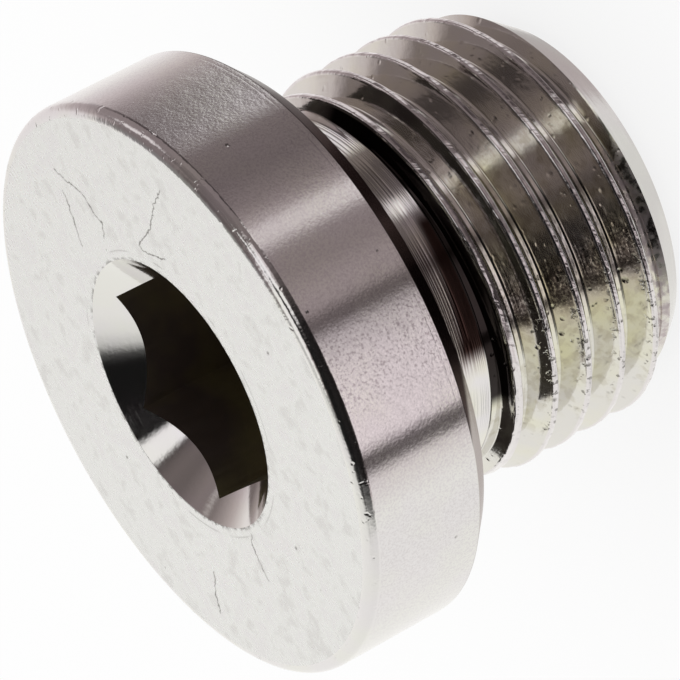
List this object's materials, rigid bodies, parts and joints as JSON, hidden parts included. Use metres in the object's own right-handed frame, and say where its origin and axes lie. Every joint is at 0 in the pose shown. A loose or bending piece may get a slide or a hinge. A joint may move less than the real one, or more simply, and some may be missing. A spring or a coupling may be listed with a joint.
{
  "type": "hex socket screw plug",
  "caption": "Threaded screw plug with a thick round collar and a countersunk hex socket, a turned groove under the collar and a chamfered end.",
  "frame": {"origin": "centre of the flat threaded end, which the plug stands on", "axes": "+Z along the axis from the threaded end to the socket face; two corners of the hex socket lie towards +Y and -Y"},
  "size_m": [0.022, 0.022, 0.017],
  "materials": {
    "zinc_plated_steel": "bright zinc plating over turned steel, slightly uneven"
  },
  "bodies": {
    "root": {"plug_body": "zinc_plated_steel"}
  },
  "joints": []
}
